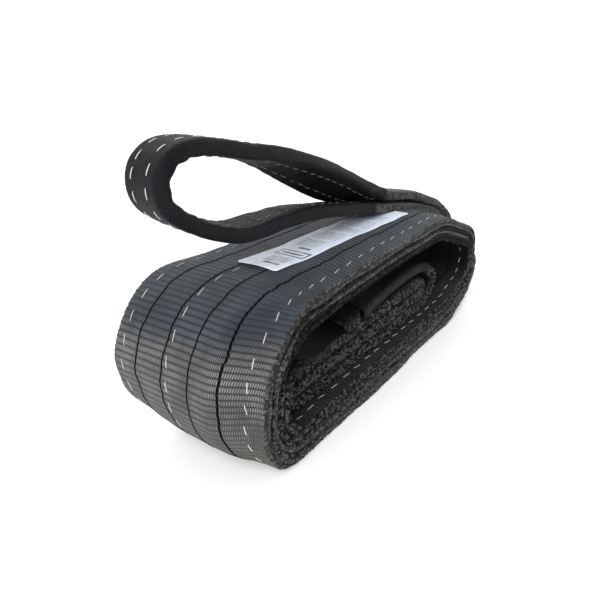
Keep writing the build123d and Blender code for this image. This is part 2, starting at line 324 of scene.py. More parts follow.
def plyPiece(name, start, stop, step, depth, counts, relief, seed):
    # a rounded flat section carried along the strap: outer face, far selvedge, inner face, near selvedge
    outer, inner = counts
    half, thick = roll["halfWeb"], roll["ply"]
    radius = thick / 2
    bead = np.linspace(-math.pi / 2, math.pi / 2, 7)[1:-1]
    flat = half - radius
    across = np.concatenate([
        np.linspace(-flat, flat, outer), flat + radius * np.cos(bead),
        np.linspace(flat, -flat, inner), -flat - radius * np.cos(bead)])
    inset = np.concatenate([
        np.zeros(outer), radius + radius * np.sin(bead),
        np.full(inner, thick), radius - radius * np.sin(bead)])
    selvedge = np.concatenate([np.zeros(outer), np.ones(5), np.zeros(inner), np.ones(5)])
    face = np.concatenate([np.ones(outer), np.zeros(5), -np.ones(inner), np.zeros(5)])
    along = np.concatenate([np.arange(start, stop, step), [stop]])
    s, y = along[:, None], across[None, :] * np.ones_like(along)[:, None]
    narrow = throatHalf(s) / half
    side = np.sign(y)
    # loops of weft at the selvedge, uneven, and each turn's edge a little in or out of line
    knob = 0.4 * np.sin(2 * math.pi * (s / weave["knob"] + 0.2 * inset + 0.3 * waver(s, 7, seed)))
    knob = knob + 0.5 * dapple(s, inset * 1.5 + seed * 7, 3.4, seed + 1)
    near = waver(s, weave["edgePitch"], seed + 2) * (side < 0)
    far = waver(s, weave["edgePitch"], seed + 3) * (side > 0)
    line = weave["edgeWander"] * near + weave["edgeWander"] * far
    margin = ease((np.abs(y) - half + 9) / 9)
    y = y * narrow + side * (selvedge * knob + margin * line)
    # the core end gathers into the inner throat, towards the near side
    gather = ease((s - strapEnd + core["from"]) / core["over"])
    y = y * (1 - core["gather"] * gather) + core["y"] * gather
    # folds along the web where it narrows
    fold = np.cos(across[None, :] / half * 3 * math.pi) * ease((throat["end"] - s) / 60)
    pleat = np.where(s < throat["end"], throat["pleat"] * fold, 0)
    rough = weave["rough"] * dapple(s, y + 3 * inset, 3.0, seed + 4) * selvedge
    sunk = depth - roll["proud"] + inset - relief * ribs(s, y) * face + rough + pleat
    points = rollPoint(s + 0 * y, y, sunk)
    v = np.concatenate([
        across[:outer], flat + radius * (bead + math.pi / 2), 200 + across[:inner], 330 + radius * bead])
    return tubeMesh(name, points, along, v, np.broadcast_to(selvedge, y.shape))


plies = {
    "outerWrap": {
        "from": 4.0, "to": afterOne, "step": 0.8, "depth": 0.0,
        "counts": (44, 6), "relief": 0.3, "seed": 11, "node": "outer_ply", "on": ()},
    "outerCore": {
        "from": afterOne, "to": strapEnd, "step": 1.6, "depth": 0.0,
        "counts": (12, 12), "relief": 0.0, "seed": 11, "node": "outer_ply", "on": ()},
    "innerWrap": {
        "from": 4.0, "to": afterTwo, "step": 1.6, "depth": 3.87,
        "counts": (10, 16), "relief": 0.0, "seed": 21, "node": "inner_ply", "on": ["outer_ply"]},
    "innerCore": {
        "from": afterTwo, "to": strapEnd, "step": 0.9, "depth": 3.87,
        "counts": (4, 40), "relief": 0.3, "seed": 21, "node": "inner_ply", "on": ["outer_ply"]},
}
plyPieces = {}
for key, p in plies.items():
    span = (p["from"], p["to"], p["step"])
    piece = plyPiece(key + "Ply", *span, p["depth"], p["counts"], p["relief"], p["seed"])
    (p["to"] - p["from"]) * 0.001
    own(piece, "roll", p["node"])
    plyPieces[key] = piece
print("sling: plies made")


# marker yarns are thin dark lines sunk between the warp yarns
markers = {
    "places": (-36, -12, 12, 36), "width": 1.45, "thick": 0.8, "step": 0.8,
    "wander": 0.75, "drift": 0.6, "jag": 0.2,
}


def yarnRun(start, stop, y, depth, outward, seed):
    # an oval section along the web's face; its width pulses with the ribs and its line wanders
    along = np.arange(start, stop, markers["step"])
    turn = np.linspace(0, 2 * math.pi, 7)[:-1]
    s = along[:, None]
    jag = 2 * np.mod(s / weave["rib"] + 0.3 * waver(s, 12, seed + 2), 1) - 1
    middle = y + markers["wander"] * waver(s, 8, seed) + markers["drift"] * waver(s, 31, seed + 1)
    middle = middle + markers["jag"] * jag
    half = markers["width"] / 2 * (0.62 + 0.38 * np.abs(np.sin(math.pi * s / weave["rib"])))
    across = middle + half * np.cos(turn)
    inset = depth - outward * (0.2 + 0.12 * ribs(s, middle) + markers["thick"] / 2 * np.sin(turn))
    return rollPoint(s + 0 * across, across, inset), along, turn * 0.8


# how deep the strap's two faces are below the route
faceOut, faceIn = -roll["proud"], 2 * roll["ply"] + roll["plyGap"] - roll["proud"]
markerPieces = []
for number, y in enumerate(markers["places"], 1):
    piece = tubeMesh(f"markerYarn{number}", *yarnRun(tailFoot, afterOne, y, faceOut, 1, 40 + number))
    own(piece, "roll", f"marker_yarn_{number}")
    markerPieces.append(piece)
innerYarns = [
    tubeMesh("innerMarkerYarns", *yarnRun(afterTwo, strapEnd - 3, y, faceIn, -1, 50 + k))
    for k, y in enumerate(markers["places"])]
markerPieces.append(joinPieces("innerMarkerYarns", innerYarns))
own(markerPieces[-1], "roll", "inner_marker_yarns")


# stitches are short rounded dashes, many in one mesh
def dashMesh(name, place, centres, length, radius, rise, sink):
    # place(along, across, height) gives points; each dash arches from sunk ends to a proud middle
    t = np.linspace(-1, 1, 6)
    a = np.linspace(0, 2 * math.pi, 7)[:-1]
    body = np.sqrt(np.clip(1.02 - t**2, 0.02, 1))
    s = centres[:, 0, None, None] + t[None, :, None] * length / 2
    thick = (radius * body)[None, :, None]
    y = centres[:, 1, None, None] + t[None, :, None] * centres[:, 2, None, None] + thick * np.cos(a)
    h = (rise - (rise + sink) * t**8)[None, :, None] + thick * np.sin(a)
    points = place(s + 0 * y, y, h + 0 * y)
    n, rows, cols = points.shape[:3]
    index = np.arange(n * rows * cols).reshape(n, rows, cols)
    p, q = index[:, :-1], index[:, 1:]
    quads = np.stack([p, np.roll(p, -1, 2), np.roll(q, -1, 2), q], -1).reshape(-1, 4)
    caps = np.concatenate([index[:, 0, ::-1], index[:, -1]])
    loops = np.concatenate([quads.ravel(), caps.ravel()])
    counts = np.concatenate([np.full(len(quads), 4), np.full(len(caps), cols)])
    uv = np.stack([(s + 0 * y).ravel()[loops], y.ravel()[loops]], -1)
    return fillMesh(name, points.reshape(-1, 3), loops, counts, uv)


seams = {
    "near": -49.0, "middle": 8.0, "far": 49.0, "dash": 12.4, "pitch": 18.2,
    "radius": 0.28, "slant": 0.8, "rise": 0.42, "sink": 0.9,
}


def seamCentres(start, stop, y, seed):
    # evenly spaced dashes, each a little out of place
    rng = np.random.default_rng(seed)
    along = np.arange(start, stop, seams["pitch"])
    shift = rng.uniform(-1, 1, (len(along), 3)) * (1.0, 0.35, 0.25)
    return np.stack([along + shift[:, 0], y + shift[:, 1], seams["slant"] + shift[:, 2]], -1)


def seamRun(name, centres, face, outward):
    def place(s, y, h):
        return rollPoint(s, y, face - outward * h)

    return dashMesh(name, place, centres, seams["dash"], seams["radius"], seams["rise"], seams["sink"])


seamPieces = []
for number, key in enumerate(("near", "middle", "far")):
    outer = seamCentres(tailFoot + 4 * number, afterOne, seams[key], 60 + number)
    inner = seamCentres(afterTwo + 5 * number, strapEnd - 8, seams[key], 70 + number)
    runs = [seamRun(f"seam{number}", outer, faceOut, 1), seamRun(f"seam{number}in", inner, faceIn, -1)]
    seamPieces.append(joinPieces("seam" + key.capitalize(), runs))
    own(seamPieces[-1], "roll", "seam_" + key)

# rows of lock stitch across the tail below the throat
rows = {
    "rows": 4, "pitch": 3.6, "stitches": 9, "gap": 6.4, "half": 27.0,
    "dash": 4.4, "radius": 0.6, "rise": 0.05, "sink": 0.8, "height": 66.0,
}


def crossRows(name, spots, face, size):
    # dashes that run across the web: their length is turned into y
    middleS, middleY = spots[:, 0, None, None], spots[:, 1, None, None]

    def place(s, y, h):
        return rollPoint(middleS + (y - middleY), middleY + (s - middleS), face - h)

    return dashMesh(name, place, spots, size["dash"], size["radius"], size["rise"], size["sink"])


rowS = placeNear(strap, roll["tailX"], rows["height"], 0, 300)
throatSpots = np.array([
    [rowS + rows["pitch"] * k, -rows["half"] + rows["gap"] * i, 0.0]
    for k in range(rows["rows"]) for i in range(rows["stitches"])])
throatRows = crossRows("throatRows", throatSpots, faceOut, rows)
own(throatRows, "roll", "outer_throat_stitching")
seamPieces.append(throatRows)
print("sling: markers and seams made")


# the label is a thin laid cloth with a slightly curled near end
label = {
    "x": -120.0, "length": 200.0, "y": -2.0, "drift": -9.0, "width": 39.0, "thick": 0.55,
    "curl": 1.7, "curlOver": 26, "corner": 2.5, "clear": 0.75, "columns": 24, "rows": 220,
    "clothHalf": 20.5, "clothBack": 60, "stitchLift": 0.6,
    "rowsX": (74.0, 77.5), "stitches": 7, "gap": 5.3, "firstStitch": -16,
    "dash": 3.6, "radius": 0.35, "rise": 0.1, "sink": 0.5,
}


def topPlace(x):
    # the distance along the strap to a place on the roll's top
    return placeNear(strap, x, roll["height"], 400, 1300)


def labelPiece():
    # a flat rounded strip: top face, far edge, bottom face, near edge, carried along X
    along = np.linspace(0, label["length"], label["rows"])
    across = np.linspace(-1, 1, label["columns"])
    profile = np.concatenate([across, across[::-1]])
    height = np.concatenate([np.full(label["columns"], label["thick"]), np.zeros(label["columns"])])
    # corners: the half width is pulled in by a quarter circle at both ends
    out = np.minimum(along, label["length"] - along)
    inCorner = np.clip(label["corner"] - out, 0, None)
    pull = label["corner"] - np.sqrt(np.clip(label["corner"] ** 2 - inCorner**2, 0, None))
    half = label["width"] / 2 - pull
    centre = label["y"] + label["drift"] * (along / label["length"])[:, None]
    y = centre + profile[None, :] * half[:, None]
    x = label["x"] + along[:, None] + 0 * y
    curl = label["curl"] * (1 - ease(along / label["curlOver"]))[:, None] ** 2
    curl = curl * (0.6 + 0.4 * np.cos(profile * 2.2)[None, :])
    wave = 0.25 * waver(along, 21, 81)[:, None] + 0.35 * dapple(x, y, 17, 82)
    s = topPlace(label["x"]) + along[:, None] + 0 * y
    points = rollPoint(s, y, faceOut - label["clear"] - height[None, :] - curl - np.clip(wave, -0.3, 1))
    v = across * label["clothHalf"]
    return tubeMesh("labelCloth", points, along, np.concatenate([v, label["clothBack"] - v]))


labelCloth = labelPiece()
own(labelCloth, "roll", "label_tag")
labelSpots = np.array([
    [topPlace(x), label["y"] + label["drift"] + label["firstStitch"] + label["gap"] * i, 0.0]
    for x in label["rowsX"] for i in range(label["stitches"])])
labelFace = faceOut - label["clear"] - label["stitchLift"]
labelRows = crossRows("labelRows", labelSpots, labelFace, label)
own(labelRows, "roll", "label_stitching")
print("sling: label made")


# an eye is a section carried along a smooth line in space, with a twist
def smoothLine(knots, step=0.8, yaw=0.0):
    # a centripetal spline through the knots, each x, y, z and twist in degrees, sampled evenly;
    # the section turns by yaw about Z towards the far end of the line's reach in -X
    k = np.array(knots, float)
    k = np.concatenate([[2 * k[0] - k[1]], k, [2 * k[-1] - k[-2]]])
    gap = np.sqrt(np.linalg.norm(np.diff(k[:, :3], axis=0), axis=1))
    t = np.concatenate([[0], np.cumsum(gap)])
    out = []
    for i in range(1, len(k) - 2):
        u = np.linspace(t[i], t[i + 1], 60, endpoint=False)[:, None]
        p, w = k[i - 1 : i + 3], t[i - 1 : i + 3]
        a1 = (w[1] - u) / (w[1] - w[0]) * p[0] + (u - w[0]) / (w[1] - w[0]) * p[1]
        a2 = (w[2] - u) / (w[2] - w[1]) * p[1] + (u - w[1]) / (w[2] - w[1]) * p[2]
        a3 = (w[3] - u) / (w[3] - w[2]) * p[2] + (u - w[2]) / (w[3] - w[2]) * p[3]
        b1 = (w[2] - u) / (w[2] - w[0]) * a1 + (u - w[0]) / (w[2] - w[0]) * a2
        b2 = (w[3] - u) / (w[3] - w[1]) * a2 + (u - w[1]) / (w[3] - w[1]) * a3
        out.append((w[2] - u) / (w[2] - w[1]) * b1 + (u - w[1]) / (w[2] - w[1]) * b2)
    line = np.concatenate([*out, k[-2:-1]])
    far = np.concatenate([[0], np.cumsum(np.linalg.norm(np.diff(line[:, :3], axis=0), axis=1))])
    s = np.linspace(0, far[-1], int(far[-1] / step))
    line = np.stack([np.interp(s, far, line[:, c]) for c in range(4)], -1)
    tangent = np.gradient(line[:, :3], s, axis=0)
    tangent /= np.linalg.norm(tangent, axis=1)[:, None]
    swing = np.radians(yaw) * ease((-60 - line[:, 0]) / 120)
    level = np.stack([np.sin(swing), np.cos(swing), 0 * swing], -1)
    across = level - tangent * np.sum(level * tangent, 1)[:, None]
    across /= np.linalg.norm(across, axis=1)[:, None]
    normal = np.cross(across, tangent)
    turn = np.radians(line[:, 3])[:, None]
    return {
        "s": s, "at": line[:, :3],
        "across": across * np.cos(turn) + normal * np.sin(turn),
        "normal": normal * np.cos(turn) - across * np.sin(turn),
    }


def sectionAlong(line, w, n):
    # points w along the section's width and n along its normal, at each place on a line
    wide = line["across"][:, None, :] * w[..., None]
    return line["at"][:, None, :] + wide + line["normal"][:, None, :] * n[..., None]


def cut(line, start, stop):
    keep = (line["s"] >= start) & (line["s"] <= stop)
    return {name: values[keep] for name, values in line.items()}


outerEye = {
    "knots": [
        (213.5, 0, 84, 0), (208, 0.5, 104, 0), (190, 2, 121.5, 0), (160, 3, 134, 0),
        (125, 4, 145.5, -2), (86, 4.5, 152.5, -5), (59, 5, 158, -12), (30, 5.5, 166.5, -25),
        (5, 6, 176.5, -34), (-25, 6, 189.5, -34), (-54, 6, 202.5, -24), (-98, 6, 220.5, -6),
        (-128, 6, 228.5, 0), (-153, 6, 234, 0), (-172, 6, 236.8, 0), (-186, 6, 235.5, 0),
        (-196, 6, 230, 0), (-201.4, 6, 221, 0), (-201.4, 6, 211, 0), (-197.5, 6, 203.5, 0),
        (-190, 6, 197, 0), (-177.5, 6, 189, 0), (-159, 6, 179.5, 0), (-138, 6, 172, 1),
        (-118, 6, 170, 3), (-92.8, 6, 169.5, 4), (-54, 6, 166.5, 5), (10, 5.5, 155.5, 5),
        (60, 5, 145, 3), (87, 4, 140.5, 2), (125, 3, 133, 0), (160, 2, 122.5, 0),
        (188, 1, 111.3, 0), (203, 0.5, 99, 0), (208.5, 0, 84, 0)],
    "half": 19.0, "thick": 5.1, "sleeveHalf": 20.3, "sleeveThick": 6.6,
    "upperMouth": 62.0, "lowerMouth": 42.0, "yaw": 10.0, "rowsAt": (-9, 9),
    "legThick": 5.3, "endWider": 7.5, "endThinner": 3.2, "endOver": 46, "underSleeve": 14,
    "coreHalf": 16.5, "coreThick": 4.0, "coreFrom": 10,
}
eyeLine = smoothLine(outerEye["knots"], yaw=outerEye["yaw"])
turnAt = int(np.argmin(eyeLine["at"][:, 0]))
upperMouth = float(np.interp(-outerEye["upperMouth"], -eyeLine["at"][:turnAt, 0], eyeLine["s"][:turnAt]))
lowerMouth = float(np.interp(outerEye["lowerMouth"], eyeLine["at"][turnAt:, 0], eyeLine["s"][turnAt:]))


def roundedSection(columns, halfWidth, halfThick, power, bead):
    # a squarish oval with beads at both edges: the thickness swells by bead towards the edges
    a = np.linspace(0, 2 * math.pi, columns, endpoint=False)
    c, d = np.cos(a), np.sin(a)
    w = halfWidth * np.sign(c) * np.abs(c) ** (2 / power)
    n = halfThick * np.sign(d) * np.abs(d) ** (2 / power)
    swell = 1 + bead * (ease(np.abs(w) / halfWidth * 1.6 - 0.75) - 0.45)
    return a, w, n * swell


def sleevePiece(name, line, halfWidth, halfThick, seed, columns=56):
    # the tube of cloth: soft lumps, creases where it bends, and a hem turned in at both mouths
    a, w, n = roundedSection(columns, halfWidth, halfThick, 3.4, 0.3)
    s = line["s"][:, None]
    bend = np.linalg.norm(np.gradient(line["normal"], line["s"], axis=0), axis=1)[:, None]
    reach = np.clip(bend * 30, 0, 1)
    lump = 0.9 * dapple(s, 14 * a[None, :], 17, seed) + 0.45 * dapple(s, 14 * a[None, :], 6.5, seed + 1)
    inside = np.clip(-np.sin(a), 0, 1)[None, :]
    crease = 1.5 * reach * inside * np.sin(2 * math.pi * s / 13 + 1.8 * waver(s, 17, seed + 2))
    scallop = 1.6 * waver(s, 15, seed + 3) * inside**2
    grow = 1 + (lump * 0.55 + crease + scallop) / 12
    ends = np.minimum(s - s[0], s[-1] - s)
    hem = 0.5 * ease((9 - ends) / 2.5) * ease(ends / 1.5)
    ww, nn = w[None, :] * (1 + 0.25 * (grow - 1)), n[None, :] * grow
    size = np.hypot(ww, nn)
    ww, nn = ww * (1 + hem / size), nn * (1 + hem / size)
    points = sectionAlong(line, ww, nn)
    onward = line["at"][1] - line["at"][0]

    def tuck(k, sign):
        # three more rows at a mouth, drawn back inside towards the web
        middle = line["at"][k]
        ahead = np.cross(line["across"][k], line["normal"][k])
        ahead = ahead if np.dot(ahead, onward) > 0 else -ahead
        steps = ((0.4, 0.93), (1.6, 0.86), (4.0, 0.83))
        return [middle + (points[k] - middle) * share + sign * back * ahead for back, share in steps]

    first, last = tuck(0, 1), tuck(-1, -1)
    points = np.concatenate([first[::-1], points, last])
    along = np.concatenate([[s[0, 0]] * 3, line["s"], [s[-1, 0]] * 3])
    girth = np.concatenate([[0], np.cumsum(np.hypot(np.diff(w), np.diff(n)))])
    return tubeMesh(name, points, along, girth)


sleeveSpan = cut(eyeLine, upperMouth, lowerMouth)
eyeSleeve = sleevePiece("eyeSleeve", sleeveSpan, outerEye["sleeveHalf"], outerEye["sleeveThick"], 90)
own(eyeSleeve, "outer_eye", "outer_eye_sleeve")


def webLeg(name, line, halfWidth, halfThick, seed, wide=None, thin=None, columns=48, strength=1.0):
    # folded web: a squarish section with grooves between its layers at the edges, ribs across it
    a, w, n = roundedSection(columns, 1.0, 1.0, 4.5, 0.0)
    s = line["s"][:, None]
    hw = halfWidth if wide is None else wide[:, None]
    ht = halfThick if thin is None else thin[:, None]
    drift = 0.10 * waver(s, 9, seed) + 0.10 * waver(s, 23, seed + 1)
    edge = ease((np.abs(w) - 0.8) / 0.2)[None, :]
    lower = np.exp(-(((n[None, :] + 0.32 - drift) / 0.13) ** 2))
    upper = np.exp(-(((n[None, :] - 0.36 - drift) / 0.12) ** 2))
    layer = lower + 0.7 * upper
    part = 2 * np.mod(s / 4.4 + 0.1 * waver(s, 8, seed + 2), 1) - 1
    rib = 0.5 * strength * (1 - np.abs(part) ** 3)
    knob = 0.5 * dapple(s, a[None, :] * 12, 3.2, seed + 3)
    ww = w[None, :] * (hw + (rib + knob) * edge - 1.9 * layer * edge * (ht > 3))
    nn = n[None, :] * (ht + 0.35 * rib + 0.3 * knob)
    girth = np.concatenate([[0], np.cumsum(np.hypot(np.diff(w) * halfWidth, np.diff(n) * halfThick))])
    points = sectionAlong(line, ww, nn)
    return tubeMesh(name, points, line["s"], girth, np.broadcast_to(edge, ww.shape))


def legShape(line, tailFirst):
    # a leg flattens and widens where it lies down on the tail
    s, e = line["s"], outerEye
    spread = 1 - ease(((s - s[0] if tailFirst else s[-1] - s) - 4) / e["endOver"])
    return e["half"] + e["endWider"] * spread, e["legThick"] - e["endThinner"] * spread


under = outerEye["underSleeve"]
legRuns = {
    "upperLeg": (cut(eyeLine, 0.0, upperMouth + under), True, 101),
    "lowerLeg": (cut(eyeLine, lowerMouth - under, 1e9), False, 111),
}
legs = [
    webLeg(name, line, outerEye["half"], outerEye["thick"], seed, *legShape(line, tailFirst))
    for name, (line, tailFirst, seed) in legRuns.items()]
coreSpan = cut(eyeLine, upperMouth + outerEye["coreFrom"], lowerMouth - outerEye["coreFrom"])
eyeCore = webLeg("eyeCore", coreSpan, outerEye["coreHalf"], outerEye["coreThick"], 121, columns=16)
for piece in (*legs, eyeCore):
    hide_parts("outer_eye_web")
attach(eyeCore, "outer_eye")
for leg in legs:
    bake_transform(leg)


sleeveStitch = {"dash": 7.8, "pitch": 11.6, "ends": 12, "radius": 0.36, "rise": 0.1, "sink": 0.9}


def sleeveDashes(name, line, face, offsets, halfThick, seed):
    # rows of stitches on one broad face of a sleeve
    rng = np.random.default_rng(seed)
    size = sleeveStitch
    along = np.arange(line["s"][0] + size["ends"], line["s"][-1] - size["ends"], size["pitch"])
    count = len(along)
    centres = np.concatenate([
        np.stack([
            along + rng.uniform(-1.2, 1.2, count) + 4 * k,
            off + rng.uniform(-0.5, 0.5, count), 0.3 + 0 * along], -1)
        for k, off in enumerate(offsets)])

    def along3(s, key):
        return np.stack([np.interp(s, line["s"], line[key][:, c]) for c in range(3)], -1)

    def place(s, y, h):
        out = along3(s, "normal") * (face * (halfThick + h))[..., None]
        return along3(s, "at") + along3(s, "across") * y[..., None] + out

    return dashMesh(name, place, centres, size["dash"], size["radius"], size["rise"], size["sink"])


outFace, inFace = [
    sleeveDashes(name, sleeveSpan, face, outerEye["rowsAt"], outerEye["sleeveThick"] * 0.89, seed)
    for name, face, seed in (("eyeStitchesOut", 1.0, 130), ("eyeStitchesIn", -1.0, 131))]
for piece in (outFace, inFace):
    own(piece, "outer_eye", "outer_eye_stitching")
print("sling: outer eye made")

# the inner eye is folded up inside the roll
innerEye = {
    "knots": [
        (-66, -31, 80.5, 0), (-40, -30, 80.5, 0), (0, -27, 81.5, 3), (60, -25, 82, 4),
        (92, -25, 80, 3), (108, -27, 72.5, 2), (115, -29, 59.5, 0), (108, -27, 46, 0),
        (92, -27, 39.5, 0), (60, -27, 38.6, 0), (0, -27, 38.4, 0), (-90, -27, 38.4, 0),
        (-128, -27, 38.8, 0), (-139, -27, 41.5, 0), (-142.5, -27, 46, 0), (-139, -27, 50.4, 0),
        (-128, -27, 52.8, 0), (-90, -27, 52.6, 0), (0, -27, 52.4, 0), (60, -27, 52.6, 0),
        (84, -27, 53.8, 0), (92, -27, 60, 0), (84, -27, 65.8, 0), (60, -27, 66.8, 0),
        (0, -27, 66.8, 0), (-60, -27, 66.8, 0), (-110, -27, 66.5, 0), (-134, -27, 66, 0)],
    "mouth": -38.0, "sleeveEnd": 104.0, "half": 18.5, "thick": 6.6,
}
innerLine = smoothLine(innerEye["knots"], 1.0)
innerFirst = float(innerLine["s"][np.argmax(innerLine["at"][:, 0] > innerEye["mouth"])])
innerLast = float(innerLine["s"][np.argmax(innerLine["at"][:, 0] > innerEye["sleeveEnd"])])
innerSpan = cut(innerLine, innerFirst, innerLast)
innerSleeve = sleevePiece("innerSleeve", innerSpan, 20.0, 7.0, 140, 40)
covered = ease((innerLine["s"] - innerFirst) / 8 + 1) * ease((innerLast - innerLine["s"]) / 8 + 1)
innerWeb = webLeg(
    "innerWeb", innerLine, innerEye["half"], innerEye["thick"], 150,
    innerEye["half"] - 6.0 * covered, innerEye["thick"] - 2.4 * covered, 56, 3.2)
innerRows = sleeveDashes("innerStitches", innerSpan, 1.0, (-9, 9), 6.2, 151)
webRows = sleeveDashes("webStitches", cut(innerLine, innerLast + 20, 1e9), -1.0, (-14, 12), 6.0, 152)
innerRows = joinPieces("innerStitches", [innerRows, webRows])
for piece, node, slot in (
    (innerSleeve, "inner_eye_sleeve", "eye_sleeve"), (innerWeb, "inner_eye_web", "grey_webbing"),
    (innerRows, "inner_eye_stitching", "white_thread"),
):
    points = np.empty(len(piece.data.vertices) * 3, np.float32)
    piece.data.vertices.foreach_get("co", points)
    points = settle(points.reshape(-1, 3) * 1000.0) * 0.001
    piece.data.vertices.foreach_set("co", points.astype(np.float32).ravel())
    piece.data.update()
    own(piece, "roll", node)
print("sling: inner eye made")


# finishes are built as sums of sockets
class Shade:
    # a socket that can be used in sums: each operator adds a Math node
    def __init__(self, finish, socket):
        self.finish, self.socket = finish, socket

    def sum(self, kind, *others):
        return self.finish.sum(kind, *others)

    def __add__(self, other): return self.sum("ADD", self, other)
    def __radd__(self, other): return self.sum("ADD", other, self)
    def __sub__(self, other): return self.sum("SUBTRACT", self, other)
    def __rsub__(self, other): return self.sum("SUBTRACT", other, self)
    def __mul__(self, other): return self.sum("MULTIPLY", self, other)
    def __rmul__(self, other): return self.sum("MULTIPLY", other, self)
    def __truediv__(self, other): return self.sum("DIVIDE", self, other)
    def __rtruediv__(self, other): return self.sum("DIVIDE", other, self)
    def __pow__(self, other): return self.sum("POWER", self, other)
    def __lt__(self, other): return self.sum("LESS_THAN", self, other)
    def __gt__(self, other): return self.sum("GREATER_THAN", self, other)


class Finish:
    # a material under construction around one Principled shader
    def __init__(self, name, constants):
        self.material = bpy.data.materials.new(name)
        self.material.use_nodes = True
        self.tree = self.material.node_tree
        self.shader = self.tree.nodes["Principled BSDF"]
        for socket, value in constants.items():
            self.shader.inputs[socket].default_value = value

    def node(self, kind, settings=None, values=None, output=0):
        made = self.tree.nodes.new(kind)
        for name, value in (settings or {}).items():
            setattr(made, name, value)
        for socket, value in (values or {}).items():
            if isinstance(value, Shade):
                self.tree.links.new(value.socket, made.inputs[socket])
            else:
                made.inputs[socket].default_value = value
        return Shade(self, made.outputs[output])

    def join(self, **sockets):
        for name, value in sockets.items():
            self.tree.links.new(value.socket, self.shader.inputs[name.replace("_", " ")])

    def parts(self, vector):
        return [self.node("ShaderNodeSeparateXYZ", {}, {0: vector}, k) for k in range(3)]

    def place(self):
        return self.node("ShaderNodeTexCoord", {}, {}, 3)

    def cloth(self):
        return self.node("ShaderNodeUVMap", {"uv_map": "UVMap"})

    def scaled(self, vector, factors):
        values = {0: vector, 1: factors}
        return self.node("ShaderNodeVectorMath", {"operation": "MULTIPLY"}, values)

    def noise(self, vector, scale, detail=2.0, output=0):
        values = {"Vector": vector, "Scale": scale, "Detail": detail}
        return self.node("ShaderNodeTexNoise", {}, values, output)

    def span(self, value, low, high, toLow=0.0, toHigh=1.0, kind="SMOOTHSTEP"):
        values = {0: value, 1: low, 2: high, 3: toLow, 4: toHigh}
        return self.node("ShaderNodeMapRange", {"interpolation_type": kind}, values)

    def mix(self, factor, one, other, kind="MIX"):
        values = {0: factor, 6: one, 7: other}
        return self.node("ShaderNodeMix", {"data_type": "RGBA", "blend_type": kind}, values, 2)

    def bump(self, height, distance, strength=1.0):
        values = {"Height": height, "Distance": distance, "Strength": strength}
        return self.node("ShaderNodeBump", {}, values)

    def wave(self, value, turns=1.0):
        return self.sum("SINE", value * (2 * math.pi * turns)) * 0.5 + 0.5

    def sum(self, kind, *others):
        return self.node("ShaderNodeMath", {"operation": kind}, dict(enumerate(others)))


def grey(value, warm=0.0):
    return (value * (1 + warm), value, value * (1 - warm), 1.0)


# the web's yarns in metres and its colours; low, belt and top are heights on the roll, and
# the colours that change with height are painted light and shade, darker and bluer on the top;
# groove is painted shade between the ribs, dark is the near black used for painted shade,
# and loopBright is a painted highlight on the selvedge loops
webbing = {
    "rib": 0.005, "tick": 0.0012, "slant": 0.12, "wander": 0.0008, "relief": 0.0011,
    "low": (0.030, 0.032, 0.028, 1), "belt": (0.033, 0.030, 0.032, 1),
    "top": (0.013, 0.019, 0.026, 1), "groove": (0.006, 0.006, 0.007, 1),
    "brightLow": (0.19, 0.195, 0.155, 1), "bright": (0.27, 0.265, 0.255, 1),
    "brightTop": (0.115, 0.14, 0.165, 1), "edge": (0.030, 0.0285, 0.026, 1),
    "loopAlong": 0.0021, "loopAcross": 0.0016, "dark": 0.002, "loopBright": 0.20,
}


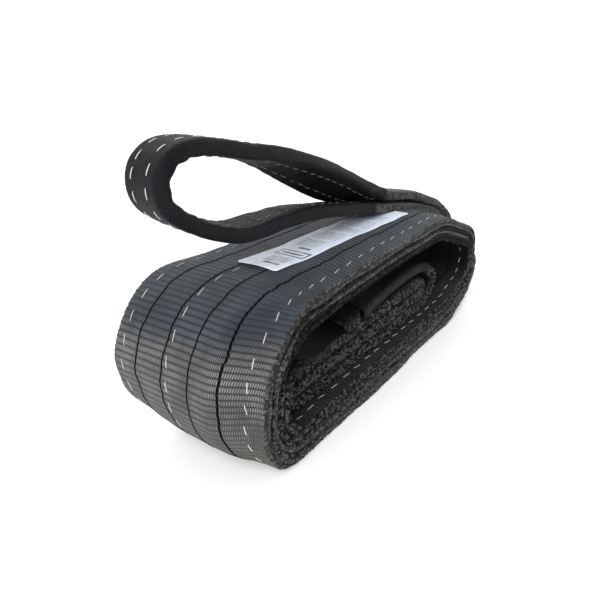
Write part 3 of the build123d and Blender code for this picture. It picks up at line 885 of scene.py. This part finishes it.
def webbingFinish(name="greyWebbing", shade=1.0):
    # cross ribs of packed weft, each with fine upright ticks that are brighter on its crown; the
    # ticks are the yarn, and their brightness on the crowns is partly a painted highlight
    # a shaded copy, for painted shade, is also less glossy
    gloss = shade**3
    f = Finish(name, {
        "Roughness": 0.62, "Specular IOR Level": 0.3 * gloss,
        "Sheen Weight": 0.06 * gloss, "Sheen Roughness": 0.4})
    cloth = f.cloth()
    u, v, _ = f.parts(cloth)
    z = f.parts(f.place())[2]
    edge = f.node("ShaderNodeAttribute", {"attribute_name": "selvedge"}, {}, 2)
    drift = f.noise(cloth, 70.0) - 0.5
    turn = (u + drift * webbing["wander"]) / webbing["rib"]
    crown = 1 - f.sum("ABSOLUTE", f.sum("FRACT", turn) * 2 - 1) ** 3.0
    shift = f.sum("FRACT", f.sum("FLOOR", turn) * 0.5)
    ticks = (v + u * webbing["slant"]) / webbing["tick"] + shift * 0.5 + drift * 0.8
    tick = f.wave(ticks) ** 1.6
    fine = f.noise(f.scaled(cloth, (900.0, 2200.0, 1.0)), 1.0, 1.0)
    patch = f.noise(f.scaled(cloth, (30.0, 60.0, 1.0)), 1.0, 3.0)
    mottle = f.noise(f.place(), 300.0, 3.0)
    # painted light and shade: the dark ground and the bright crowns both change with height,
    # darker and bluer on the top
    base = f.mix(f.span(z, 0.02, 0.06), webbing["low"], webbing["belt"])
    base = f.mix(f.span(z, 0.095, 0.125), base, webbing["top"])
    # painted highlight: the crowns are brighter in a band at mid height and dimmer on the top
    highlightBand = f.span(z, 0.05, 0.09, 0.8, 1.15) - f.span(z, 0.1, 0.125, 0.0, 0.45)
    bright = f.mix(f.span(z, 0.02, 0.06), webbing["brightLow"], webbing["bright"])
    bright = f.mix(f.span(z, 0.09, 0.125), bright, webbing["brightTop"])
    # painted shade: a shaded web is dimmer as it goes deeper into the roll
    dim = f.span(z, 0.03, 0.065, shade, shade * 0.12) if shade < 1 else 1.0
    base = f.mix(crown**2.0 * tick * f.span(patch, 0.3, 0.7, 0.3, 1.0) * highlightBand * dim, base, bright)
    # painted shade: the valleys between the ribs are darkened
    base = f.mix(f.span(crown, 0.0, 0.5, 0.6, 0.0), base, webbing["groove"])
    # the selvedge is a mottled edging of loops; where the mottle is low it is near black, painted
    # shade in the holes between loops, and its light loop crowns are a painted highlight
    along = f.wave(u / webbing["loopAlong"] + drift * 1.5)
    across = f.wave(v / webbing["loopAcross"] + u / (2 * webbing["loopAlong"]) + drift)
    loop = along * across
    dark = grey(webbing["dark"], 0.03)
    edging = f.mix(f.span(mottle, 0.40, 0.54), dark, webbing["edge"])
    edging = f.mix(f.span(mottle, 0.48, 0.60, 0.0, 0.9) * loop, edging, grey(webbing["loopBright"], 0.03))
    # painted shade on the shaded copy: its ground goes towards black deeper in the roll, and so does its
    # selvedge high in the roll
    if shade < 1:
        base = f.mix(dim, grey(webbing["dark"]), base)
        edging = f.mix(f.span(z, 0.068, 0.085, 1.0, 0.3), grey(webbing["dark"]), edging)
    f.join(Base_Color=f.mix(edge, base, edging))
    f.join(Roughness=f.span(fine, 0.3, 0.7, 0.5, 0.72))
    face = crown * 0.5 + crown * tick * 0.5 + fine * 0.15
    relief = face * (1 - edge) + edge * (mottle * 0.8 + loop * 0.4 + fine * 0.2)
    f.join(Normal=f.bump(relief, webbing["relief"]))
    return f.material


# the sleeve's nearly black cloth, and the light blue of a painted highlight on its cord crowns
sleeve = {
    "cloth": (0.0022, 0.0026, 0.004, 1), "light": (0.024, 0.028, 0.038, 1), "pitch": 0.0021,
}


def sleeveFinish():
    # close twill: diagonal cords over a fine grid, nearly black, faintly blue on the crowns; that
    # blue is partly the twill and partly a painted highlight
    f = Finish("eyeSleeve", {"Roughness": 0.65, "Specular IOR Level": 0.14})
    cloth = f.cloth()
    u, v, _ = f.parts(cloth)
    drift = f.noise(cloth, 60.0) - 0.5
    cord = f.wave((u + v + drift * 0.001) / sleeve["pitch"])
    weft = f.wave((v - u * 0.35) / (sleeve["pitch"] * 0.8))
    twill = cord * (0.55 + 0.45 * weft)
    patch = f.noise(f.place(), 45.0, 4.0)
    fuzz = f.noise(f.place(), 900.0, 2.0)
    # painted highlight: the cord crowns are lit, more in some patches than others
    lit = twill**1.5 * f.span(patch, 0.35, 0.75, 0.2, 1.0) * f.span(fuzz, 0.35, 0.65, 0.2, 1.2)
    f.join(Base_Color=f.mix(lit, sleeve["cloth"], sleeve["light"]))
    f.join(Roughness=f.span(fuzz, 0.2, 0.8, 0.5, 0.72))
    f.join(Normal=f.bump(twill * 0.7 + fuzz * 0.25 + patch * 0.6, 0.0007))
    return f.material


def threadFinish(name, colour, dark, gloss=0.4):
    # twisted thread: slanting strands and a little grime
    f = Finish(name, {"Roughness": 0.55, "Specular IOR Level": gloss})
    u, v, _ = f.parts(f.cloth())
    strand = f.wave((u + v * 1.4) / 0.0013)
    grime = f.noise(f.place(), 260.0, 2.0)
    f.join(Base_Color=f.mix(strand * 0.35 + f.span(grime, 0.45, 0.75, 0.0, 0.4), colour, dark))
    f.join(Roughness=f.span(grime, 0.3, 0.7, 0.5, 0.7))
    f.join(Normal=f.bump(strand, 0.0003))
    return f.material


# what is printed on the label: from, to along it and from, to across it in millimetres, how
# strong, and with which pattern; no lettering
labelPrint = [
    (9, 13, -14, 2, 0.8, "plain"), (15, 28, -14, 8, 0.75, "fine"), (29, 30, -14, 4, 0.7, "plain"),
    (34, 47, -18, 13, 1.0, "plain"), (36, 45, -16, 11, -1.0, "plain"), (39, 42, -13, 8, 0.9, "plain"),
    (53, 57, -9, 3, 0.8, "plain"), (60, 78, -10, 12, 1.0, "rules"), (84, 104, -14, 12, 0.8, "rules"),
    (110, 124, -14, 13, 0.9, "rules"), (130, 150, -15, 8, 0.7, "rules"),
    (158, 176, -12, 14, 0.8, "rules"),
]
film = {
    "light": (0.66, 0.72, 0.84, 1), "worn": (0.50, 0.55, 0.65, 1), "ink": (0.035, 0.037, 0.042, 1),
    "rule": 0.0042, "fineRule": 0.0022, "halfFace": 20.6,
}


def labelFinish():
    # coated cloth with plain grey boxes and rules where details would be filled in
    f = Finish("labelFilm", {"Roughness": 0.42, "Specular IOR Level": 0.45})
    u, v, _ = f.parts(f.cloth())

    def band(value, low, high):
        return (value > low * 0.001) * (value < high * 0.001)

    broken = f.noise(f.scaled(f.cloth(), (2600.0, 420.0, 1.0)), 1.0, 0.0) > 0.47
    patterns = {
        "plain": 1.0,
        "rules": (f.sum("FRACT", u / film["rule"]) < 0.42) * broken,
        "fine": f.sum("FRACT", u / film["fineRule"]) < 0.5,
    }
    ink = 0.0
    for u0, u1, v0, v1, strength, pattern in labelPrint:
        ink = band(u, u0, u1) * band(v, v0, v1) * patterns[pattern] * strength + ink
    wear = f.noise(f.place(), 130.0, 4.0)
    cloth = f.mix(f.span(wear, 0.4, 0.8, 0.0, 0.5), film["light"], film["worn"])
    printed = ink * band(v, -film["halfFace"], film["halfFace"]) * 1.3
    shade = f.sum("MINIMUM", printed, 1.0) * f.span(wear, 0.3, 0.7, 0.75, 1.0)
    f.join(Base_Color=f.mix(shade, cloth, film["ink"]))
    f.join(Roughness=f.span(wear, 0.3, 0.7, 0.35, 0.55))
    f.join(Normal=f.bump(f.noise(f.place(), 600.0, 2.0) + wear, 0.0003))
    return f.material


def dress(piece, material):
    piece.data.materials.clear()
    piece.data.materials.append(material)


webCloth, sleeveCloth = webbingFinish(), sleeveFinish()
# a copy of the web finish with painted shade, for the pieces deep inside the roll
shadedCloth = webbingFinish("shadedWebbing", 0.55)
blackYarn = threadFinish("markerYarn", grey(0.0012), grey(0.004), 0.04)
# a copy of the white thread with painted shade, for the stitches on the inner faces
dimThread = threadFinish("shadedThread", (0.22, 0.215, 0.20, 1), (0.09, 0.09, 0.085, 1))
whiteThread = threadFinish("whiteThread", (0.66, 0.65, 0.62, 1), (0.36, 0.35, 0.33, 1))
dressed = (
    (webCloth, (plyPieces["outerWrap"], plyPieces["innerWrap"], *legs, eyeCore)),
    (shadedCloth, (plyPieces["outerCore"], plyPieces["innerCore"], innerWeb)),
    (sleeveCloth, (eyeSleeve, innerSleeve)), (blackYarn, markerPieces),
    (whiteThread, (*seamPieces, labelRows, outFace)), (dimThread, (inFace, innerRows)),
    (labelFinish(), (labelCloth,)),
)
for material, pieces in dressed:
    for piece in pieces:
        dress(piece, material)
print("sling: finishes made")


# a pale floor with a wall far behind it, and soft light
studio = {
    "floor": 0.9, "half": 40.0, "sky": 0.62, "sun": 2.9, "key": 12.0, "front": 3.0, "rim": 6.0,
    "wall": [
        (8.0, -0.02), (8.8, 0.03), (9.6, 0.25), (10.4, 0.8), (11.0, 1.8), (11.3, 3.5), (11.4, 9)],
    "wallFrom": -40, "wallTo": 115, "wallColumns": 49,
}


def addFloor():
    mesh = bpy.data.meshes.new("studioFloor")
    half, columns = studio["half"], studio["wallColumns"]
    points = [(-half, -half, 0), (half, -half, 0), (half, half, 0), (-half, half, 0)]
    # the wall rises from the floor in a curve; its pairs are a distance away and a height
    turns = np.radians(np.linspace(studio["wallFrom"], studio["wallTo"], columns))
    points += [(r * math.cos(a), r * math.sin(a), z) for r, z in studio["wall"] for a in turns]
    rows = range(len(studio["wall"]) - 1)
    corner = [4 + columns * k + i for k in rows for i in range(columns - 1)]
    faces = [(0, 1, 2, 3)] + [(c, c + columns, c + columns + 1, c + 1) for c in corner]
    mesh.from_pydata(points, [], faces)
    floor = bpy.data.objects.new("studioFloor", mesh)
    bpy.context.collection.objects.link(floor)
    colour = (studio["floor"],) * 3 + (1,)
    f = Finish("paleFloor", {"Base Color": colour, "Roughness": 0.9, "Specular IOR Level": 0.1})
    dress(floor, f.material)


def addLight(name, place, aim, size, power, colour):
    data = bpy.data.lights.new(name, "AREA")
    data.shape, data.size, data.energy, data.color = "DISK", size, power, colour
    lamp = bpy.data.objects.new(name, data)
    way = Vector(aim) - Vector(place)
    lamp.matrix_world = Matrix.Translation(place) @ way.to_track_quat("-Z", "Y").to_matrix().to_4x4()
    bpy.context.collection.objects.link(lamp)


def addSun(name, way, strength, spread):
    data = bpy.data.lights.new(name, "SUN")
    data.energy, data.angle = strength, math.radians(spread)
    lamp = bpy.data.objects.new(name, data)
    lamp.matrix_world = Vector(way).to_track_quat("-Z", "Y").to_matrix().to_4x4()
    bpy.context.collection.objects.link(lamp)


addFloor()
addSun("softSun", (0.75, 0.25, -0.62), studio["sun"], 50)
addLight("keyLight", (-1.9, -0.5, 0.75), (-0.1, 0, 0.06), 0.8, studio["key"], (1.0, 0.96, 0.91))
addLight("frontLight", (-0.3, -2.0, 1.0), (0, 0, 0.06), 1.4, studio["front"], (0.95, 0.98, 1.0))
addLight("rimLight", (1.0, 1.6, 1.5), (0, 0, 0.1), 1.2, studio["rim"], (0.93, 0.97, 1.0))
world = bpy.data.worlds.new("studioWorld")
bpy.context.scene.world = world
world.use_nodes = True
sky = world.node_tree.nodes["Background"].inputs
sky["Color"].default_value = (1, 1, 1, 1)
sky["Strength"].default_value = studio["sky"]
bpy.context.scene.view_settings.view_transform = "Standard"
print("sling: studio ready")
